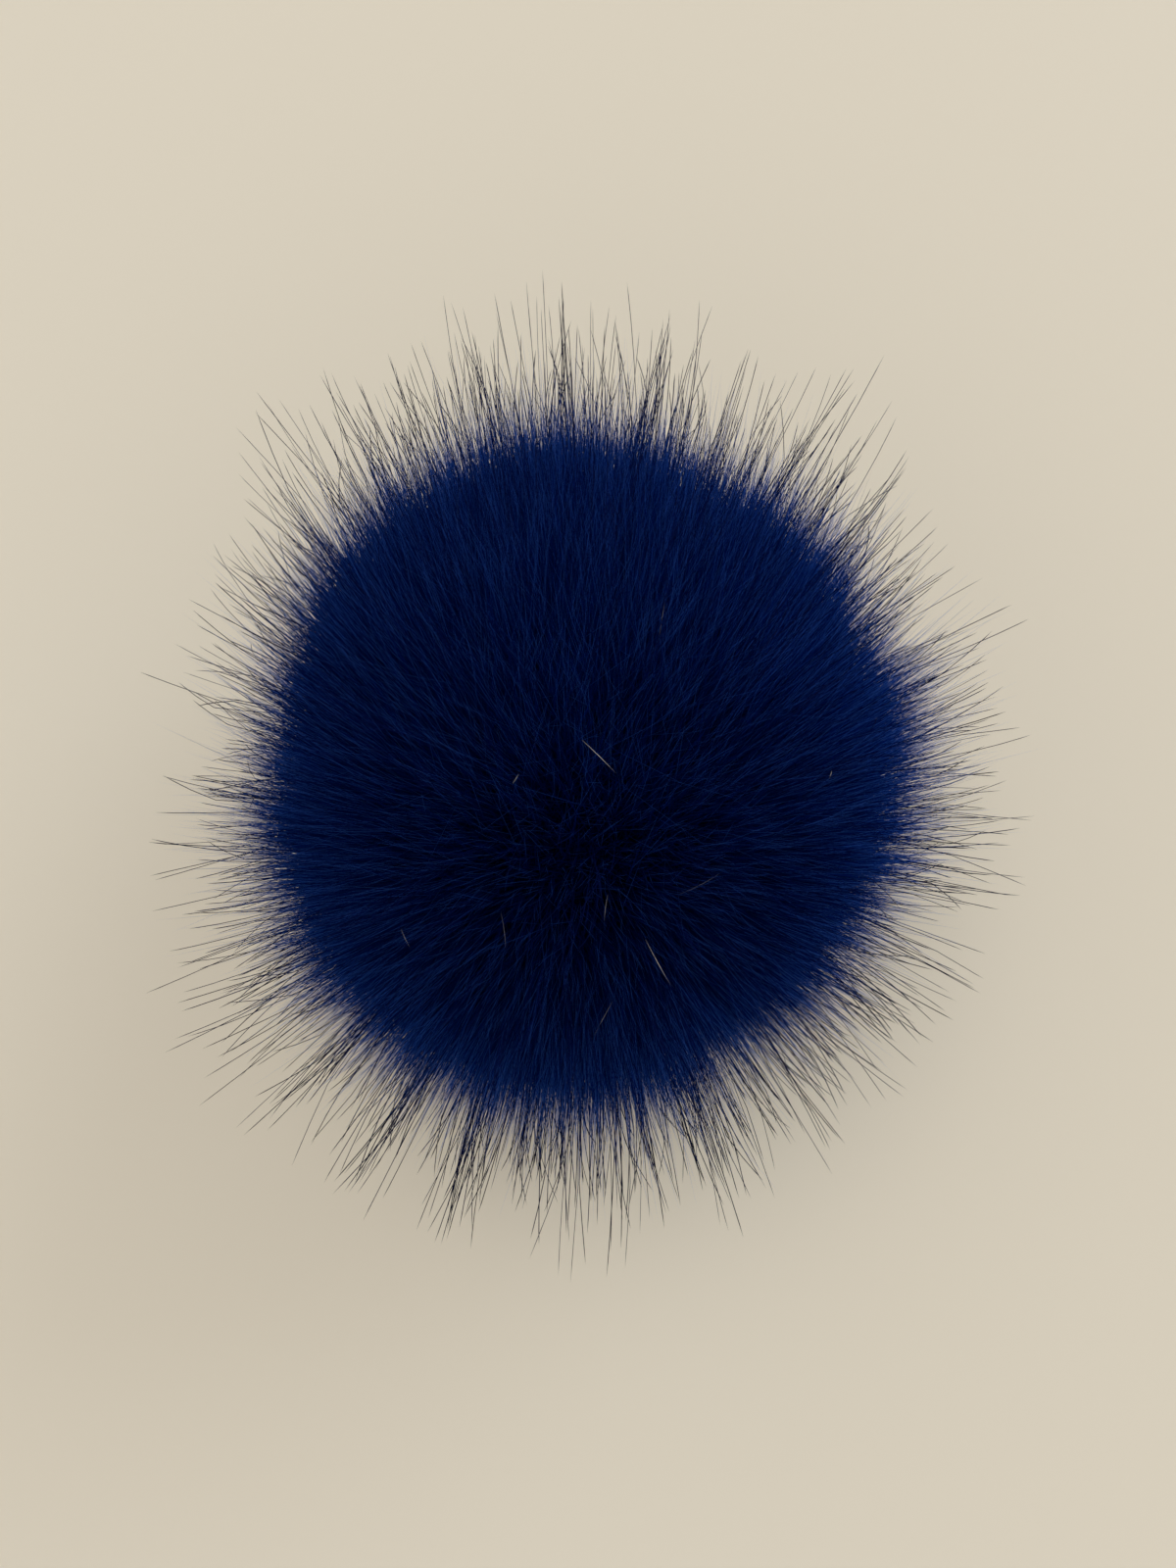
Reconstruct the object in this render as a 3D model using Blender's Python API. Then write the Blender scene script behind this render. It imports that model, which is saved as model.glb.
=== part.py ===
"""A long-pile faux-fur pom pom, resting on a surface.

It is one piece: a disc of fur fabric gathered round its edge and drawn closed over its stuffing, so that only the
pile shows. The solid is the dense underfur, a slightly flattened ball pressed flat where it rests, with its guard
hair standing out of it in tapering locks. The pile has a nap: every lock leans towards +Y. Low locks meet the
surface and bend outwards along it.

The frame has +Z up and +Y the way the nap leans. The origin is on the surface, at the middle of the footprint's box.
"""

import math
import random

import bmesh
import bpy
from mathutils import Vector, noise

MM = 0.001

# The dense underfur.
DENSE_WIDTH = 96 * MM
DENSE_HEIGHT = 89 * MM  # its own weight flattens it a little
FLAT_SPOT = 46 * MM  # the ball's width at the surface, inside which it is pressed flat
LUMP_HEIGHT = 1.6 * MM  # how far the underfur swells and sinks
LUMPS_ACROSS = 1.9

# The guard hair's locks, one on each facet of the underfur.
FACET_CORNERS = 362
CORNER_SCATTER = 0.16  # share of the spacing between corners
TOP_REACH = 64 * MM  # from the ball's middle to the tips that stand on top
REACH_SCATTER = 2.2 * MM
NAP_LEAN = 0.33  # sideways run of a lock for each unit that it stands out
NAP_GAIN = 0.20  # the lean grows towards +Y by this and shrinks towards -Y
LEAN_SCATTER = 0.07
DROOP = 1.5 * MM  # how far the tip of a level lock sinks
FLOOR_SOFTNESS = 6 * MM  # height over which a lock bends to run along the surface
LOWEST_LOCK_FACING = -0.72  # facets that face further down than this are pressed bare
WAIST_AT = 0.48  # share of a lock's length at its middle ring
WAIST_SIZE = 0.40  # size of that ring as a share of the facet

# How far the tips reach from the ball's middle, seen from above, in the compass directions round it.
OUTLINE_COLUMNS = ("bearing_deg", "reach_mm")
OUTLINE = (
    (0, 70),
    (20, 63),
    (40, 68),
    (60, 63),
    (80, 65),
    (100, 68),
    (120, 66),
    (140, 67),
    (160, 65),
    (180, 62),
    (200, 67),
    (220, 67),
    (240, 69),
    (260, 68),
    (280, 67),
    (300, 63),
    (320, 65),
    (340, 67),
)

SEED = 11
GOLDEN_ANGLE = math.pi * (3 - math.sqrt(5))

half_width = DENSE_WIDTH / 2
half_height = DENSE_HEIGHT / 2
flat_share = FLAT_SPOT / DENSE_WIDTH
middle_height = half_height * math.sqrt(1 - flat_share**2)
middle = Vector((0, 0, middle_height))


def clear_scene():
    for obj in list(bpy.data.objects):
        bpy.data.objects.remove(obj)


def spiral_directions(rng):
    """Directions spread evenly round a ball on a golden spiral, each moved a little so that no two locks match."""
    spacing = math.sqrt(4 * math.pi / FACET_CORNERS)
    for i in range(FACET_CORNERS):
        height = 1 - (2 * i + 1) / FACET_CORNERS
        level = math.sqrt(1 - height**2)
        turn = i * GOLDEN_ANGLE
        nudge = Vector([rng.uniform(-1, 1) for _ in range(3)]) * CORNER_SCATTER * spacing
        spot = Vector((level * math.cos(turn), level * math.sin(turn), height))
        yield (spot + nudge).normalized()


def underfur_point(direction):
    """The point of the underfur's surface in this direction from its middle."""
    level = math.hypot(direction.x, direction.y) / half_width
    radius = 1 / math.hypot(level, direction.z / half_height)
    radius += LUMP_HEIGHT * noise.noise(direction * LUMPS_ACROSS)
    return middle + direction * radius


def underfur_ball(rng):
    """The dense underfur as a faceted ball whose underside is pressed onto the surface, at z = 0."""
    bm = bmesh.new()
    for direction in spiral_directions(rng):
        bm.verts.new(underfur_point(direction))
    bmesh.ops.convex_hull(bm, input=bm.verts)
    for corner in bm.verts:
        corner.co.z = max(corner.co.z, 0)
    bm.normal_update()
    return bm


def outline_reach(bearing):
    """The reach at a bearing in degrees, read smoothly between the rows of OUTLINE."""
    step = 360 / len(OUTLINE)
    row, share = divmod(bearing % 360 / step, 1)
    before = OUTLINE[int(row)][1]
    after = OUTLINE[(int(row) + 1) % len(OUTLINE)][1]
    smooth = (1 - math.cos(math.pi * share)) / 2
    return (before + (after - before) * smooth) * MM


def lock_reach(outward, rng):
    """How far from the ball's middle a lock's tip lies: the outline's reach at the sides, and less on top."""
    bearing = math.degrees(math.atan2(outward.y, outward.x))
    side = 1 - outward.z**2
    reach = TOP_REACH + (outline_reach(bearing) - TOP_REACH) * side
    return reach + rng.uniform(-REACH_SCATTER, REACH_SCATTER)


def lock_direction(outward, rng):
    """The way a lock stands: outwards, leaning with the nap towards +Y."""
    lean = NAP_LEAN + NAP_GAIN * outward.y
    along_nap = Vector((0, 1, 0)) - outward * outward.y
    scatter = Vector([rng.uniform(-1, 1) for _ in range(3)]) * LEAN_SCATTER
    return (outward + along_nap * lean + scatter).normalized()


def lock_point(root, direction, length, share):
    """A point along a lock. It droops with its weight, and bends outwards where it would pass under the surface."""
    run = length * share
    level = Vector((direction.x, direction.y, 0))
    droop = DROOP * level.length * share**2
    straight_height = root.z + direction.z * run - droop
    height = FLOOR_SOFTNESS * math.log1p(math.exp(straight_height / FLOOR_SOFTNESS))
    level_run = math.sqrt(max(run**2 - (height - root.z) ** 2, 0))
    point = root + level.normalized() * level_run
    point.z = height
    return point


def raise_lock(bm, facet, rng):
    """Draws one facet out into a lock that narrows to a waist and then to a point."""
    root = facet.calc_center_median()
    outward = (root - middle).normalized()
    direction = lock_direction(outward, rng)
    length = (lock_reach(outward, rng) - (root - middle).length) / direction.dot(outward)
    waist = lock_point(root, direction, length, WAIST_AT)
    tip = lock_point(root, direction, length, 1)
    turned = facet.normal.rotation_difference(tip - root).to_matrix()
    drawn = bmesh.ops.extrude_discrete_faces(bm, faces=[facet])["faces"]
    for corner in drawn[0].verts:
        corner.co = waist + turned @ (corner.co - root) * WAIST_SIZE
    point = bmesh.ops.poke(bm, faces=drawn)["verts"][0]
    point.co = tip


def raise_locks(bm, rng):
    for facet in list(bm.faces):
        outward = (facet.calc_center_median() - middle).normalized()
        pressed = min(corner.co.z for corner in facet.verts) <= 0
        if not pressed and outward.z > LOWEST_LOCK_FACING:
            raise_lock(bm, facet, rng)


def centre_footprint(bm):
    """Moves the ball so that the origin is at the middle of its box, seen from above."""
    for axis in range(2):
        places = [corner.co[axis] for corner in bm.verts]
        shift = (min(places) + max(places)) / 2
        for corner in bm.verts:
            corner.co[axis] -= shift


def fur_material():
    material = bpy.data.materials.new("blue_fur")
    material.use_nodes = True
    shader = material.node_tree.nodes["Principled BSDF"]
    shader.inputs["Base Color"].default_value = (0.005, 0.014, 0.085, 1)
    shader.inputs["Roughness"].default_value = 0.85
    shader.inputs["Metallic"].default_value = 0
    return material


def make_fur_ball():
    rng = random.Random(SEED)
    bm = underfur_ball(rng)
    raise_locks(bm, rng)
    centre_footprint(bm)
    mesh = bpy.data.meshes.new("fur_ball")
    bm.to_mesh(mesh)
    bm.free()
    mesh.materials.append(fur_material())
    ball = bpy.data.objects.new("fur_ball", mesh)
    bpy.context.scene.collection.objects.link(ball)
    return ball


clear_scene()
make_fur_ball()
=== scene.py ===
"""A long-pile faux-fur pom pom on a pale surface, seen from almost straight above.

The stuffed ball inside is one closed, pressed form. Its pile is made strand by strand, as closed tapering
needles: the dense blue underfur, in fine clumps, and the long dark guard hair, which follows the locks of the
CAD solid.
"""

import math

import bmesh
import bpy
import numpy as np
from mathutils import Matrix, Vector, kdtree


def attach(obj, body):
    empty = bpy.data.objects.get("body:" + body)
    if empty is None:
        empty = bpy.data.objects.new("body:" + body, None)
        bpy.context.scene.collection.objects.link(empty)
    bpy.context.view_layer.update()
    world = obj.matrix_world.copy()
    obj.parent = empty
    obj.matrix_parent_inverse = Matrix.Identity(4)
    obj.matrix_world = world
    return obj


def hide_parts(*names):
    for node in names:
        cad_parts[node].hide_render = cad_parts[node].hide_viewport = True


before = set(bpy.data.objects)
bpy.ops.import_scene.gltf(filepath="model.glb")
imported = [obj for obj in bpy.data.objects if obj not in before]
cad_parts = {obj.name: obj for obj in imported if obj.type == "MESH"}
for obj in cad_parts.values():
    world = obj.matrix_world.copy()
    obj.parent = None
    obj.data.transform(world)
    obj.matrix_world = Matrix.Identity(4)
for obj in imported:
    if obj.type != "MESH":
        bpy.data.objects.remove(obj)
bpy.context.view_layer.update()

MM = 0.001
NAP = np.array((0.0, 1.0, 0.0))  # the way the pile leans
GOLDEN_ANGLE = math.pi * (3 - math.sqrt(5))
SEED = 20
SAME_CORNER = 0.01 * MM  # corners of the solid within this distance are one

# The make of a strand.
STRAND_SIDES = 3  # its cross-section is a triangle
NARROWING_GROWTH = 1.3  # over 1, it narrows faster and faster
STRIPS_ACROSS = 48  # how many strand-wide strips the map is divided into
PASSED_FROM = 0.45  # the share of its length from which light passes through it, where it does

# The ball under the pile.
BALL_FLATNESS = 89 / 96  # the underfur's height over its width
BACKING_DEPTH = 10.5 * MM  # from the underfur's ends in to the fabric that it grows from
PRESSED_PILE = 7.5 * MM  # the thickness of the pile that is pressed under the ball
BACKING_LEVEL = 6  # subdivisions of the ball's icosphere

# The gathered seam underneath, where the disc of fabric is drawn closed.
PLEATS = 18
PLEAT_DEPTH = 0.9 * MM
PLEAT_DRIFT = 1.5  # how unevenly they are spaced, in radians of a pleat
PLEAT_DRIFTS = 3  # how many times in a turn they crowd and spread
PLEATED_FROM = 0.15  # how far down the ball the pleats begin, as the downward part of its outward direction
PUCKER_HEIGHT = 4.5 * MM
PUCKER_WIDTH = 7 * MM

# The pile's nap. A lean or a tilt is the sideways run for each unit that a strand stands out.
NAP_LEAN = 0.52
NAP_GAIN = 0.20  # the lean grows towards +Y by this and shrinks towards -Y

# The underfur, which gathers in fine clumps. A strand's rings are its cross-sections before the tip.
CLUMPS = 6500
CLUMP_SCATTER = 0.3  # of the clumps' roots, as a share of their spacing
CLUMP_TILT = 0.09  # how far a clump's direction strays
CLUMP_REACH_SCATTER = 1.3 * MM
UNDERFUR = (
    # piece, finish, strands, rings, width in mm, reach in mm, scatter of the reach in mm, tilt, greatest pull
    ("underfur_inner_1", "dense", 24000, 1, 0.20, -0.8, 1.2, 0.10, 0.5),
    ("underfur_inner_2", "dense", 30000, 1, 0.17, 0.4, 1.5, 0.12, 0.6),
    ("underfur_inner_3", "dense", 34000, 1, 0.12, 1.6, 2.0, 0.14, 0.7),
    ("underfur_outer_1", "loose", 19000, 2, 0.095, 3.4, 2.4, 0.15, 0.8),
    ("underfur_outer_2", "loose", 19000, 2, 0.085, 6.4, 3.2, 0.17, 0.9),
)
TOP_REACH_SHARE = 0.5  # how much of its reach the underfur has where it stands on top
TOP_SCATTER = 0.35  # and how much of the scatter of that reach
TOP_TILT_GAIN = 2.2  # how much more loosely it stands there
PAINTED_TOP_SHADE = 0.08  # and how light its colour is there, as a share of its lightness at the sides: painted shade on top
PAINTED_SIDE_LIGHT_GROWTH = 4  # the higher, the nearer to the sides its colour turns light: painted light on the sides
STRETCH = 1.2 * MM  # how much longer the underfur is along the nap, and shorter across it
STRETCH_BEHIND = 0.7 * MM  # and how much longer still at the end that the nap leans away from
TRIMMED_SIDE = np.array((0.75, -0.66, 0.0))  # the way out on which the underfur is shortest
TRIM = 0.9 * MM  # and how much shorter it is there
TRIM_FOCUS = 4  # the higher, the narrower that part of the outline
LOBE_SHARE = 0.7  # how much of a lock's longer or shorter reach its underfur has
WISP_HEIGHT = 3.4 * MM  # at the sides, how far the underfur of a lock stands out over that between locks
WISP_PULL = 1.1  # and how strongly it draws in to the lock's middle
LOCKLESS_FROM = 2  # but not from this many half spacings of the locks away
UNDERFUR_WIDTHS = (0.75, 1.15)  # a strand's width, as a share of its piece's
UNDERFUR_LENGTHS = (3 * MM, 30 * MM)
UNDERFUR_FULL_TO = 0.3  # the share of a strand up to which it is full
UNDERFUR_END = 0.25  # and its width at the end, as a share of its full width
UNDERFUR_SCATTER = 0.35  # of its roots, as a share of their spacing
CURL = 0.07  # share of a strand's length
LEAST_PULL = 0.1  # of a strand to its clump's line, and on top the pull is a smaller share
TOP_PULL_SHARE = 0.35
PULL_GROWTH = 1.5  # over 1, the strands draw together late along their length
CLUMP_SHADE = 0.35  # the part of a strand's shade that it shares with its clump
LEAST_SHADE = 0.25  # and the least of its own part
UNDERFUR_BEND_HEIGHT = 2.5 * MM  # over which low strands bend to run along the surface
UNDERFUR_GAPS = (0.15, 1.4)  # in millimetres, how far over the surface they then are

# The guard hair. Strands of one lock draw together by twos and threes, in bundles.
GUARD = (
    # piece, strands, rings, width in mm
    ("guard_hair_1", 2700, 6, 0.140),
    ("guard_hair_2", 2700, 6, 0.115),
)
BUNDLES_PER_LOCK = 3
BUNDLE_SPREAD = 4.2 * MM  # at most, between the bundles' tips and the lock's own, along each axis
TIP_SCATTER = 0.9 * MM  # between the strands' tips in a bundle
TIP_CROWDING = 1.5  # over 1, the rings crowd towards the tip, so that a hair is full almost to its end
SHORTEST_GUARD = 0.42  # share of its lock's length
LONGEST_GUARD = 1.02
FLANK_THINNING = 0.4  # the share of guard hair that is missing from the flanks, across the nap
GUARD_SCATTER = 0.5  # of its roots, as a share of their spacing
LONGER_ALONG = 0.9  # how much more of the guard hair is long along the nap
SHORTER_ACROSS = 0.4  # and how much less of it across the nap
LENGTH_SPREAD = (1.5, 1.25)  # the beta distribution of its shortness
DARKNESS_SPREAD = (1.2, 4)  # and of its shade round the outline
BARE_MARGIN = 0.1  # how far under the lowest locks the hair goes on, as the upward part of its direction
GUARD_WIDTHS = (0.8, 1.15)  # a strand's width, as a share of its piece's
TOP_NARROWING = 0.35  # and how much narrower it is on top
GUARD_FULL_TO = 0.8
GUARD_END = 0.8
LOCK_BOW = 0.35  # how much of its lock's bend a strand has
OWN_BOW = 0.009  # share of its length
KINKED = 0.35  # the share of strands that are bent near the tip
KINK_FROM = 0.66  # share of a strand's length
KINK = 0.04  # share of its length
GUARD_BEND_HEIGHT = 1.5 * MM
GUARD_GAPS = (0.2, 1.8)  # in millimetres
BLUE_FROM = 0.6  # the upward part of the directions from which guard hair on top is blue all along

# The stray fibres on top. Paleness runs from 0, blue-grey, to 1, cream.
STRAY_LIFT = 6.5 * MM  # over the ball that the underfur makes
STRAY_WIDTH = 0.075 * MM
STRAY_RINGS = 4
STRAY_LIFTED = 0.15  # how much a stray stands out of the pile towards its end
STRAY_BOW = 0.10  # share of its length
STRAY_FULL_TO = 0.5
STRAY_END = 0.4
STRAYS = (
    # x in mm, y in mm, heading in degrees, length in mm, paleness
    (-24.0, 19.6, -45, 6.0, 0.9),
    (1.8, -5.3, -45, 5.5, 1.0),
    (-6.0, -7.3, 55, 1.4, 0.8),
    (7.6, -24.7, -63, 6.8, 1.0),
    (25.0, -6.0, 80, 1.0, 0.9),
    (-33.5, -12.6, 30, 1.6, 0.7),
    (2.4, -19.5, -95, 3.2, 0.4),
    (-17.4, -22.3, -70, 2.6, 0.4),
    (2.1, -30.5, -108, 5.4, 0.3),
    (15.1, -37.0, 24, 6.0, 0.2),
    (11.9, -17.0, 31, 5.5, 0.1),
    (-7.3, -21.9, -88, 4.4, 0.2),
    (7.9, 8.3, 80, 4.0, 0.2),
)

FLOOR_WIDTH = 30.0
FLOOR_COLOUR = (0.715, 0.655, 0.545)
FLOOR_ROUGHNESS = 0.7

# The light all round: bright at the level of the object and dim overhead. A stop is at the sine of its
# elevation.
WORLD_LIGHT = (
    (0.0, (1.0, 0.98, 0.94)),
    (0.55, (0.95, 0.93, 0.90)),
    (0.85, (0.08, 0.08, 0.08)),
)
WORLD_STRENGTH = 1.12
LAMP_SPREAD = 42  # the angle in degrees that each lamp fills
LAMPS = (
    # name, place, strength, colour
    ("key", (-0.40, 0.60, 2.30), 0.97, (1.0, 0.955, 0.88)),
    ("cool_side", (1.6, 1.5, 0.8), 1.19, (0.84, 0.92, 1.0)),
)

# The camera, straight above but for a small tilt.
CAMERA_ELEVATION = 82  # degrees
CAMERA_DISTANCE = 178 * MM
LONG_SIDE_VIEW = 67  # degrees
SENSOR_WIDTH = 36  # millimetres
CLIP_START = 10 * MM
CAMERA_AIM = (-2.1 * MM, -2.8 * MM)  # where the view's middle falls, at the height of the ball's middle


def unit(vectors):
    return vectors / np.linalg.norm(vectors, axis=-1, keepdims=True)


def dot(a, b):
    return np.sum(a * b, axis=-1, keepdims=True)


def read_locks():
    """The root, waist and tip of each lock of the solid.

    A lock's tip is the only kind of corner where just three faces meet. The ring next to it is the waist.
    """
    solid = bmesh.new()
    solid.from_mesh(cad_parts["fur_ball"].data)
    bmesh.ops.remove_doubles(solid, verts=solid.verts, dist=SAME_CORNER)
    roots, waists, tips = [], [], []
    for corner in solid.verts:
        if len(corner.link_faces) != 3:
            continue
        ring = [edge.other_vert(corner) for edge in corner.link_edges]
        near = {edge.other_vert(spot) for spot in ring for edge in spot.link_edges}
        base = near - set(ring) - {corner}
        roots.append(np.mean([spot.co for spot in base], axis=0))
        waists.append(np.mean([spot.co for spot in ring], axis=0))
        tips.append(np.array(corner.co))
    solid.free()
    return np.array(roots), np.array(waists), np.array(tips)


lock_roots, lock_waists, lock_tips = read_locks()
lock_spacing = math.sqrt(4 * math.pi / len(lock_roots))  # between neighbours' directions
low = lock_roots.min(axis=0)
high = lock_roots.max(axis=0)
half_width = (high[0] - low[0] + high[1] - low[1]) / 4
half_height = half_width * BALL_FLATNESS
middle = np.array(((low[0] + high[0]) / 2, (low[1] + high[1]) / 2, high[2] - half_height))
lock_outward = unit(lock_roots - middle)


def ball_radius(outward, depth=0.0):
    """How far the ball reaches in each direction, this deep under the underfur's ends."""
    level = np.hypot(outward[:, 0], outward[:, 1]) / (half_width - depth)
    return (1 / np.hypot(level, outward[:, 2] / (half_height - depth)))[:, None]


def backing_point(outward):
    """The point of the fabric in this direction.

    The fabric falls into pleats lower down, and underneath it is pressed flat on its pile, and drawn up a
    little in the middle, where the gathered seam closes.
    """
    bearing = np.arctan2(outward[:, 1], outward[:, 0])
    pleated = np.clip(-outward[:, 2] - PLEATED_FROM, 0, 1)
    drift = PLEAT_DRIFT * np.sin(PLEAT_DRIFTS * bearing)
    pleats = np.cos(PLEATS * bearing + drift) * pleated * PLEAT_DEPTH
    point = middle + outward * (ball_radius(outward, BACKING_DEPTH) + pleats[:, None])
    from_seam = np.linalg.norm(point[:, :2] - middle[:2], axis=1)
    pucker = PUCKER_HEIGHT * np.exp(-((from_seam / PUCKER_WIDTH) ** 2))
    point[:, 2] = np.maximum(point[:, 2], PRESSED_PILE + pleats + pucker)
    return point


def spread_directions(count, rng, scatter):
    """Directions spread evenly all round on a golden spiral, then moved by a share of their spacing."""
    i = np.arange(count)
    height = 1 - (2 * i + 1) / count
    level = np.sqrt(1 - height**2)
    turn = i * GOLDEN_ANGLE
    even = np.stack((level * np.cos(turn), level * np.sin(turn), height), axis=1)
    spacing = math.sqrt(4 * math.pi / count)
    return unit(even + rng.normal(0, scatter * spacing, even.shape))


def nap_direction(outward, tilt):
    """The way a strand stands: outwards, leaning with the nap, and off by its own tilt."""
    along = dot(outward, NAP)
    lean = NAP_LEAN + NAP_GAIN * along
    return unit(outward + (NAP - outward * along) * lean + tilt)


def nearest(centres, points):
    """For each point, the number of the centre that is nearest to it."""
    tree = kdtree.KDTree(len(centres))
    for i, centre in enumerate(centres):
        tree.insert(centre, i)
    tree.balance()
    return np.array([tree.find(point)[1] for point in points])


def settle(paths, softness, gap):
    """Bends strands that would pass into the surface, so that they run out along it, a gap over it."""
    roots = paths[:, :1]
    level = paths[:, :, :2] - roots[:, :, :2]
    run = np.linalg.norm(paths - roots, axis=-1)
    over = paths[:, :, 2] - gap
    height = gap + softness * np.logaddexp(0, over / softness)
    height[:, 0] = paths[:, 0, 2]
    level_run = np.sqrt(np.maximum(run**2 - (height - height[:, :1]) ** 2, 0))
    ahead = level / np.maximum(np.linalg.norm(level, axis=-1, keepdims=True), 1e-9)
    settled = paths.copy()
    settled[:, :, :2] = roots[:, :, :2] + ahead * level_run[:, :, None]
    settled[:, :, 2] = height
    return settled


def strand_mesh(name, paths, widths, shade, rng):
    """One mesh of closed, tapering strands. Each path runs from a root to a tip.

    On its map a strand is an upright strip: its shade sets how far across, and its length runs up.
    """
    count, steps = paths.shape[:2]
    rings = steps - 1
    along = unit(np.gradient(paths, axis=1))[:, :rings]
    aside = rng.normal(size=(count, 1, 3))
    first = unit(np.cross(along, aside))
    second = np.cross(along, first)
    corner_turn = np.arange(STRAND_SIDES) * (2 * math.pi / STRAND_SIDES)
    radii = (widths / 2)[:, :rings, None, None]
    ring = first[:, :, None] * np.cos(corner_turn)[:, None]
    ring = ring + second[:, :, None] * np.sin(corner_turn)[:, None]
    ring = paths[:, :rings, None] + ring * radii
    tip = rings * STRAND_SIDES
    places = np.concatenate((ring.reshape(count, tip, 3), paths[:, -1:]), axis=1)

    # The faces of one strand: the cap at its root, then each ring's walls. The last walls close at the tip.
    corners, sizes, across, up = [0, 2, 1], [3], [0, 2, 1], [0, 0, 0]
    for step in range(rings):
        for side in range(STRAND_SIDES):
            a = step * STRAND_SIDES + side
            b = step * STRAND_SIDES + (side + 1) % STRAND_SIDES
            if step < rings - 1:
                corners += [a, b, b + STRAND_SIDES, a + STRAND_SIDES]
                sizes.append(4)
                across += [side, side + 1, side + 1, side]
                up += [step, step, step + 1, step + 1]
            else:
                corners += [a, b, tip]
                sizes.append(3)
                across += [side, side + 1, side + 0.5]
                up += [step, step, step + 1]

    starts = np.arange(count)[:, None] * (tip + 1)
    corners = (np.array(corners) + starts).ravel()
    sizes = np.tile(sizes, count)
    strip = 1 / STRIPS_ACROSS
    u = shade[:, None] * (1 - strip) + np.array(across) / STRAND_SIDES * strip
    v = np.broadcast_to(np.array(up) / rings, u.shape)

    mesh = bpy.data.meshes.new(name)
    mesh.vertices.add(count * (tip + 1))
    mesh.vertices.foreach_set("co", places.ravel().astype(np.float32))
    mesh.loops.add(len(corners))
    mesh.loops.foreach_set("vertex_index", corners.astype(np.int32))
    mesh.polygons.add(len(sizes))
    mesh.polygons.foreach_set("loop_start", np.concatenate(([0], np.cumsum(sizes)[:-1])).astype(np.int32))
    mesh.update(calc_edges=True)
    layer = mesh.uv_layers.new(name="OFBake")
    layer.uv.foreach_set("vector", np.stack((u.ravel(), v.ravel()), axis=1).ravel().astype(np.float32))
    mesh.shade_smooth()
    piece = bpy.data.objects.new(name, mesh)
    bpy.context.scene.collection.objects.link(piece)
    return piece


def taper(widths, steps, fullest, end):
    """Each strand's width at every step: full until past its fullest place, then down to its end share."""
    share = np.linspace(0, 1, steps)
    past = np.maximum(share - fullest, 0) / (1 - fullest)
    return widths[:, None] * (1 - (1 - end) * past**NARROWING_GROWTH)


def ramp(nodes, stops):
    node = nodes.new("ShaderNodeValToRGB")
    node.color_ramp.elements[0].position = stops[0][0]
    node.color_ramp.elements[0].color = (*stops[0][1], 1)
    node.color_ramp.elements[1].position = stops[-1][0]
    node.color_ramp.elements[1].color = (*stops[-1][1], 1)
    for position, colour in stops[1:-1]:
        node.color_ramp.elements.new(position).color = (*colour, 1)
    return node


def strand_material(name, dark, light, roughness, specular, through=None, through_share=0.0):
    """Colour that runs from a strand's root to its tip, between a dark and a light strand's colours.

    Where through is given, light also passes through the strand and takes on that colour: none does so up to
    near the middle, and the most, the share given, at the tip.
    """
    material = bpy.data.materials.new(name)
    material.use_nodes = True
    nodes = material.node_tree.nodes
    links = material.node_tree.links
    shader = nodes["Principled BSDF"]
    places = nodes.new("ShaderNodeUVMap")
    places.uv_map = "OFBake"
    split = nodes.new("ShaderNodeSeparateXYZ")
    links.new(places.outputs["UV"], split.inputs[0])
    dark_ramp = ramp(nodes, dark)
    light_ramp = ramp(nodes, light)
    links.new(split.outputs["Y"], dark_ramp.inputs["Fac"])
    links.new(split.outputs["Y"], light_ramp.inputs["Fac"])
    mix = nodes.new("ShaderNodeMix")
    mix.data_type = "RGBA"
    links.new(split.outputs["X"], mix.inputs["Factor"])
    links.new(dark_ramp.outputs["Color"], mix.inputs["A"])
    links.new(light_ramp.outputs["Color"], mix.inputs["B"])
    links.new(mix.outputs["Result"], shader.inputs["Base Color"])
    shader.inputs["Roughness"].default_value = roughness
    shader.inputs["Specular IOR Level"].default_value = specular
    if through is None:
        return material
    translucent = nodes.new("ShaderNodeBsdfTranslucent")
    translucent.inputs["Color"].default_value = (*through, 1)
    both = nodes.new("ShaderNodeMixShader")
    passed = nodes.new("ShaderNodeMapRange")
    passed.inputs["From Min"].default_value = PASSED_FROM
    passed.inputs["To Max"].default_value = through_share
    links.new(split.outputs["Y"], passed.inputs["Value"])
    links.new(passed.outputs["Result"], both.inputs[0])
    links.new(shader.outputs["BSDF"], both.inputs[1])
    links.new(translucent.outputs["BSDF"], both.inputs[2])
    links.new(both.outputs["Shader"], nodes["Material Output"].inputs["Surface"])
    return material


def dense_material():
    # The dark colours are for the pile on top and the light ones for the pile at the sides, also mixed by
    # each strand's own tone. They are shaded and lit copies of one blue, and the light tips are a painted
    # glow of light at the sides.
    return strand_material(
        "dense_underfur",
        dark=((0.0, (0.0, 0.0044, 0.057)), (0.55, (0.0, 0.0049, 0.062)), (1.0, (0.0002, 0.0057, 0.067))),
        light=((0.0, (0.0, 0.0042, 0.050)), (0.55, (0.0002, 0.0088, 0.088)), (1.0, (0.0070, 0.056, 0.37))),
        roughness=0.6,
        specular=0.0,
    )


def loose_material():
    # The dark colours are for the pile on top and the light ones for the pile at the sides, also mixed by
    # each strand's own tone. They are shaded and lit copies of one blue. The light tips are a painted glow of
    # light at the sides, and the dark tips are darkened as a painted shade on the ends that stand out of the
    # pile on top.
    return strand_material(
        "loose_underfur",
        dark=((0.0, (0.0, 0.0044, 0.057)), (0.5, (0.0, 0.0045, 0.056)), (1.0, (0.0002, 0.0040, 0.045))),
        light=((0.0, (0.0, 0.0042, 0.050)), (0.5, (0.0020, 0.019, 0.150)), (1.0, (0.042, 0.180, 0.76))),
        roughness=0.6,
        specular=0.0,
        through=(0.25, 0.46, 0.98),
        through_share=0.65,
    )


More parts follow.
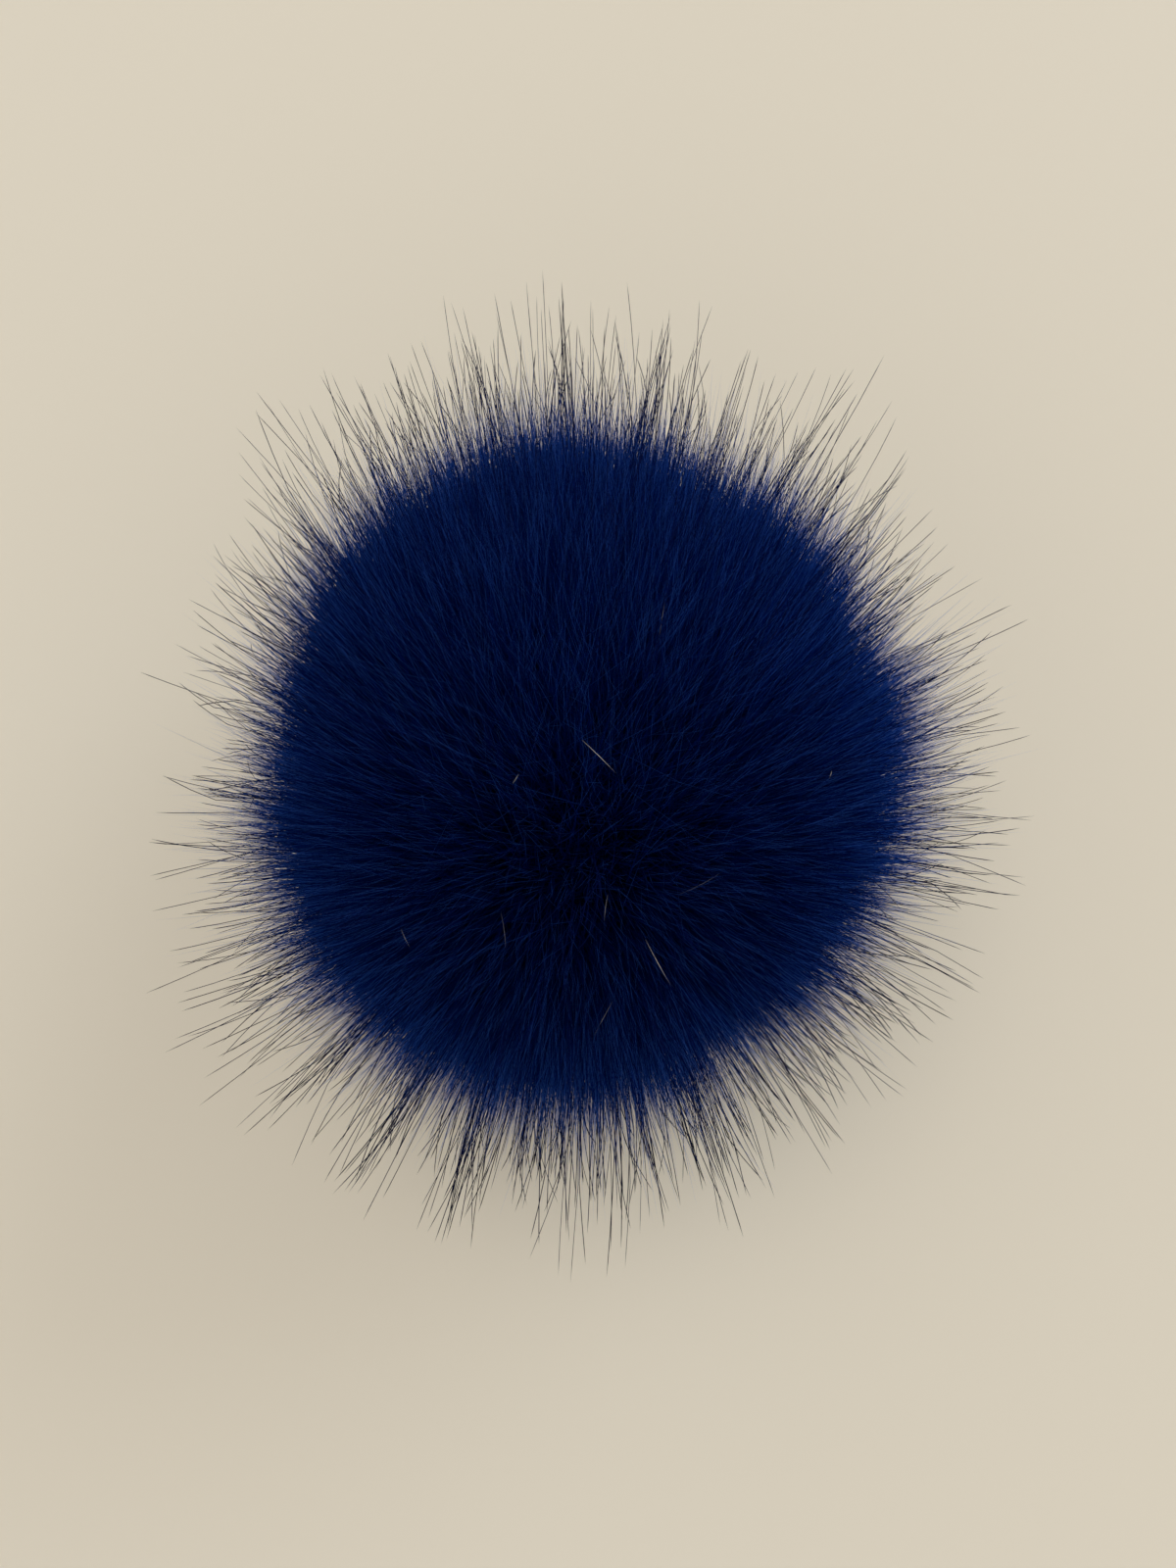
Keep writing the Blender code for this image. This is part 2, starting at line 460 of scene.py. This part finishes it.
def guard_material():
    """The hair round the outline is black to its tips, and that on top is dark blue, like the underfur."""
    # The blue of the hair on top darkens towards its tips, a painted shade on the ends that stand out of the
    # pile.
    return strand_material(
        "dark_guard_hair",
        dark=((0.0, (0.0, 0.003, 0.035)), (0.3, (0.0003, 0.006, 0.05)), (0.5, (0.003, 0.003, 0.006))),
        light=((0.0, (0.0, 0.004, 0.050)), (0.4, (0.0, 0.004, 0.048)), (1.0, (0.0002, 0.003, 0.034))),
        roughness=0.6,
        specular=0.03,
    )


def stray_material():
    """Strays: thin blue-grey ones, and pale ones."""
    return strand_material(
        "stray_fibre",
        dark=((0.0, (0.001, 0.004, 0.03)), (0.5, (0.007, 0.016, 0.065)), (1.0, (0.001, 0.006, 0.04))),
        light=((0.0, (0.05, 0.045, 0.05)), (0.5, (0.42, 0.38, 0.34)), (1.0, (0.06, 0.05, 0.05))),
        roughness=0.5,
        specular=0.2,
    )


def backing_material():
    """The fabric and the roots of the pile, which show only as a darkness between the strands."""
    material = bpy.data.materials.new("navy_backing")
    material.use_nodes = True
    nodes = material.node_tree.nodes
    links = material.node_tree.links
    shader = nodes["Principled BSDF"]
    places = nodes.new("ShaderNodeTexCoord")
    mottle = nodes.new("ShaderNodeTexNoise")
    mottle.inputs["Scale"].default_value = 900
    mottle.inputs["Detail"].default_value = 3
    links.new(places.outputs["Object"], mottle.inputs["Vector"])
    tones = ramp(nodes, ((0.35, (0.0, 0.0045, 0.054)), (0.7, (0.0, 0.0058, 0.068))))
    links.new(mottle.outputs["Fac"], tones.inputs["Fac"])
    links.new(tones.outputs["Color"], shader.inputs["Base Color"])
    shader.inputs["Roughness"].default_value = 0.9
    shader.inputs["Specular IOR Level"].default_value = 0.05
    return material


def make_backing():
    """The stuffed ball: one closed form, with the pleats of its gathered seam underneath."""
    ball = bmesh.new()
    bmesh.ops.create_icosphere(ball, subdivisions=BACKING_LEVEL, radius=1)
    outward = unit(np.array([corner.co for corner in ball.verts]))
    places = backing_point(outward)
    for corner, place in zip(ball.verts, places):
        corner.co = place
    mesh = bpy.data.meshes.new("stuffed_ball")
    ball.to_mesh(mesh)
    ball.free()
    mesh.shade_smooth()
    piece = bpy.data.objects.new("stuffed_ball", mesh)
    bpy.context.scene.collection.objects.link(piece)
    piece.data.materials.append(backing_material())
    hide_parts("fur_ball")
    return piece


def sideways(outward):
    """From 0, for pile that stands on top or underneath, to 1 for pile that stands out level."""
    return 1 - outward[:, 2:] ** 2


def make_underfur():
    """The dense blue pile.

    Its strands lean together in fine clumps, and at the sides the clumps gather in wisps.
    """
    rng = np.random.default_rng(SEED)
    finishes = {"dense": dense_material(), "loose": loose_material()}
    clump_outward = spread_directions(CLUMPS, rng, CLUMP_SCATTER)
    clump_roots = backing_point(clump_outward)
    clump_lock = nearest(lock_outward, clump_outward)
    to_lock = lock_outward[clump_lock] - clump_outward
    # How far a clump is from the middle of its lock. Halfway to the next lock is 1, and underneath, where
    # there are no locks, it is more.
    off_lock = np.linalg.norm(to_lock, axis=1, keepdims=True) / (lock_spacing / 2)
    side = sideways(clump_outward)
    draw = to_lock * WISP_PULL * side * (off_lock < LOCKLESS_FROM)
    lock_reach = np.linalg.norm(lock_tips - middle, axis=1, keepdims=True)
    clump_reach = (lock_reach - lock_reach.mean())[clump_lock] * LOBE_SHARE
    clump_reach += WISP_HEIGHT * np.clip(1 - 2 * off_lock, -1, 1) * side
    clump_reach += STRETCH * (clump_outward[:, 1:2] ** 2 - clump_outward[:, :1] ** 2)
    clump_reach += STRETCH_BEHIND * np.clip(-clump_outward[:, 1:2], 0, 1)
    clump_reach -= TRIM * np.clip(dot(clump_outward, TRIMMED_SIDE), 0, 1) ** TRIM_FOCUS
    clump_reach += rng.normal(0, CLUMP_REACH_SCATTER, (CLUMPS, 1)) * (TOP_SCATTER + (1 - TOP_SCATTER) * side)
    clump_ways = nap_direction(clump_outward, draw + rng.normal(0, CLUMP_TILT, (CLUMPS, 3)))
    clump_shade = rng.uniform(0, 1, CLUMPS)
    pieces = []
    for name, finish, count, rings, width, reach, reach_scatter, tilt, greatest_pull in UNDERFUR:
        outward = spread_directions(count, rng, UNDERFUR_SCATTER)
        clump = nearest(clump_outward, outward)
        roots = backing_point(outward)
        level = sideways(outward)
        loosened = rng.normal(0, tilt, (count, 3)) * (1 + TOP_TILT_GAIN * (1 - level))
        ways = nap_direction(outward, draw[clump] + loosened)
        own_reach = reach * MM * (TOP_REACH_SHARE + (1 - TOP_REACH_SHARE) * level)
        ends = ball_radius(outward) + own_reach + clump_reach[clump]
        ends += rng.normal(0, reach_scatter * MM, (count, 1)) * (TOP_SCATTER + (1 - TOP_SCATTER) * level)
        lengths = (ends - np.linalg.norm(roots - middle, axis=1, keepdims=True)) / dot(ways, outward)
        lengths = np.clip(lengths, *UNDERFUR_LENGTHS)
        share = np.linspace(0, 1, rings + 1)[:, None]
        own = roots[:, None] + (ways * lengths)[:, None] * share
        curl = rng.normal(0, CURL, (count, 1, 3)) * lengths[:, None]
        own = own + curl * share**2
        line = clump_roots[clump][:, None] + (clump_ways[clump] * lengths)[:, None] * share
        pull = rng.uniform(LEAST_PULL, greatest_pull, (count, 1, 1))
        pull *= TOP_PULL_SHARE + (1 - TOP_PULL_SHARE) * side[clump][:, None]
        paths = own + (line - own) * pull * share**PULL_GROWTH
        paths = settle(paths, UNDERFUR_BEND_HEIGHT, rng.uniform(*UNDERFUR_GAPS, (count, 1)) * MM)
        widths = rng.uniform(*UNDERFUR_WIDTHS, count) * width * MM
        widths = taper(widths, rings + 1, UNDERFUR_FULL_TO, UNDERFUR_END)
        shade = CLUMP_SHADE * clump_shade[clump] + rng.uniform(LEAST_SHADE, 1 - CLUMP_SHADE, count)
        # Painted shade and light: the colour is darkened on top of the ball and turns to the lighter colours
        # towards the sides.
        shade *= PAINTED_TOP_SHADE + (1 - PAINTED_TOP_SHADE) * level[:, 0] ** PAINTED_SIDE_LIGHT_GROWTH
        piece = strand_mesh(name, paths, widths, shade, rng)
        piece.data.materials.append(finishes[finish])
        pieces.append(piece)
    return pieces


def make_guard_hair():
    """The long dark hair.

    A strand's root is anywhere on the ball, and its tip is near that of a bundle in its lock.
    """
    rng = np.random.default_rng(SEED + 1)
    material = guard_material()
    lock_base = backing_point(lock_outward)
    bundle_offsets = rng.uniform(-BUNDLE_SPREAD, BUNDLE_SPREAD, (len(lock_tips), BUNDLES_PER_LOCK, 3))
    bundle_tips = lock_tips[:, None] + bundle_offsets
    pieces = []
    for name, count, rings, width in GUARD:
        outward = spread_directions(count, rng, GUARD_SCATTER)
        above = outward[:, 2] > lock_outward[:, 2].min() - BARE_MARGIN
        kept = rng.uniform(0, 1, count) > FLANK_THINNING * outward[:, 0] ** 2
        outward = outward[above & kept]
        count = len(outward)
        lock = nearest(lock_outward, outward)
        roots = backing_point(outward)[:, None]
        bundle = rng.integers(0, BUNDLES_PER_LOCK, count)
        aims = bundle_tips[lock, bundle][:, None] + rng.normal(0, TIP_SCATTER, (count, 1, 3))
        across, along = outward[:, 0], outward[:, 1]
        longer = LONGER_ALONG * along**2 - SHORTER_ACROSS * across**2
        shortness = rng.beta(*LENGTH_SPREAD, count) ** (1 + longer)
        reach = (LONGEST_GUARD - (LONGEST_GUARD - SHORTEST_GUARD) * shortness)[:, None, None]
        share = 1 - (1 - np.linspace(0, 1, rings + 1)[:, None]) ** TIP_CROWDING
        run = aims - roots
        lengths = np.linalg.norm(run, axis=-1, keepdims=True)
        paths = roots + run * reach * share
        base, waist, tip = (part[lock][:, None] for part in (lock_base, lock_waists, lock_tips))
        bow = (waist - (base + tip) / 2) * LOCK_BOW + rng.normal(0, OWN_BOW, (count, 1, 3)) * lengths
        paths = paths + bow * 4 * share * (1 - share)
        kinked = rng.uniform(0, 1, (count, 1, 1)) < KINKED
        kinks = kinked * rng.normal(0, KINK, (count, 1, 3)) * lengths
        paths = paths + kinks * np.maximum(share - KINK_FROM, 0) / (1 - KINK_FROM)
        paths = settle(paths, GUARD_BEND_HEIGHT, rng.uniform(*GUARD_GAPS, (count, 1)) * MM)
        on_top = np.clip(outward[:, 2] / BLUE_FROM, 0, 1)
        widths = rng.uniform(*GUARD_WIDTHS, count) * width * MM * (1 - TOP_NARROWING * on_top)
        widths = taper(widths, rings + 1, GUARD_FULL_TO, GUARD_END)
        shade = on_top + (1 - on_top) * rng.beta(*DARKNESS_SPREAD, count)
        piece = strand_mesh(name, paths, widths, shade, rng)
        piece.data.materials.append(material)
        pieces.append(piece)
    return pieces


def make_strays():
    """The few loose fibres that lie on the pile."""
    rng = np.random.default_rng(SEED + 2)
    x, y, heading, length, paleness = np.array(STRAYS, dtype=float).T
    level = np.stack((x, y), axis=1) * MM
    from_middle = np.linalg.norm(level / half_width, axis=1, keepdims=True)
    height = half_height * np.sqrt(1 - from_middle**2)
    outward = unit(np.concatenate((level, height), axis=1))
    heading = np.radians(heading)
    ways = np.stack((np.cos(heading), np.sin(heading), np.zeros(len(STRAYS))), axis=1)
    ways = unit(ways - outward * dot(ways, outward) + outward * STRAY_LIFTED)
    centres = middle + np.concatenate((level, height), axis=1) + outward * STRAY_LIFT
    share = np.linspace(-0.5, 0.5, STRAY_RINGS + 1)[:, None]
    lengths = length * MM
    bow = rng.normal(0, STRAY_BOW, (len(STRAYS), 1, 3)) * lengths[:, None, None]
    paths = centres[:, None] + (ways * lengths[:, None])[:, None] * share - bow * share**2
    widths = taper(np.full(len(STRAYS), STRAY_WIDTH), STRAY_RINGS + 1, STRAY_FULL_TO, STRAY_END)
    piece = strand_mesh("stray_fibres", paths, widths, paleness, rng)
    piece.data.materials.append(stray_material())
    return piece


def plain_material(name, colour, roughness):
    material = bpy.data.materials.new(name)
    material.use_nodes = True
    shader = material.node_tree.nodes["Principled BSDF"]
    shader.inputs["Base Color"].default_value = (*colour, 1)
    shader.inputs["Roughness"].default_value = roughness
    return material


def make_floor():
    mesh = bpy.data.meshes.new("floor")
    half = FLOOR_WIDTH / 2
    corners = [(-half, -half, 0), (half, -half, 0), (half, half, 0), (-half, half, 0)]
    mesh.from_pydata(corners, [], [(0, 1, 2, 3)])
    floor = bpy.data.objects.new("floor", mesh)
    bpy.context.scene.collection.objects.link(floor)
    floor.data.materials.append(plain_material("pale_floor", FLOOR_COLOUR, FLOOR_ROUGHNESS))


def make_light(name, place, strength, colour):
    """A large, soft, distant light. Its place is only the way that it shines from."""
    lamp = bpy.data.lights.new(name, "SUN")
    lamp.angle = math.radians(LAMP_SPREAD)
    lamp.energy = strength
    lamp.color = colour
    light = bpy.data.objects.new(name, lamp)
    light.location = place
    light.rotation_euler = (Vector(middle) - Vector(place)).to_track_quat("-Z", "Y").to_euler()
    bpy.context.scene.collection.objects.link(light)


def make_lights():
    for name, place, strength, colour in LAMPS:
        make_light(name, place, strength, colour)
    world = bpy.data.worlds.new("studio")
    world.use_nodes = True
    nodes = world.node_tree.nodes
    links = world.node_tree.links
    places = nodes.new("ShaderNodeTexCoord")
    split = nodes.new("ShaderNodeSeparateXYZ")
    links.new(places.outputs["Generated"], split.inputs[0])
    sky = ramp(nodes, WORLD_LIGHT)
    links.new(split.outputs["Z"], sky.inputs["Fac"])
    links.new(sky.outputs["Color"], nodes["Background"].inputs["Color"])
    nodes["Background"].inputs["Strength"].default_value = WORLD_STRENGTH
    bpy.context.scene.world = world
    bpy.context.scene.view_settings.view_transform = "Standard"


def make_camera():
    lens = bpy.data.cameras.new("camera")
    lens.sensor_width = SENSOR_WIDTH
    lens.lens = lens.sensor_width / 2 / math.tan(math.radians(LONG_SIDE_VIEW / 2))
    lens.clip_start = CLIP_START
    camera = bpy.data.objects.new("camera", lens)
    tilt = math.radians(CAMERA_ELEVATION)
    aim = Vector((*CAMERA_AIM, middle[2]))
    camera.location = aim + Vector((0, -math.cos(tilt), math.sin(tilt))) * CAMERA_DISTANCE
    camera.rotation_euler = (aim - camera.location).to_track_quat("-Z", "Y").to_euler()
    bpy.context.scene.collection.objects.link(camera)
    bpy.context.scene.camera = camera


make_camera()
make_floor()
make_lights()
for part in (make_backing(), *make_underfur(), *make_guard_hair(), make_strays()):
    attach(part, "root")
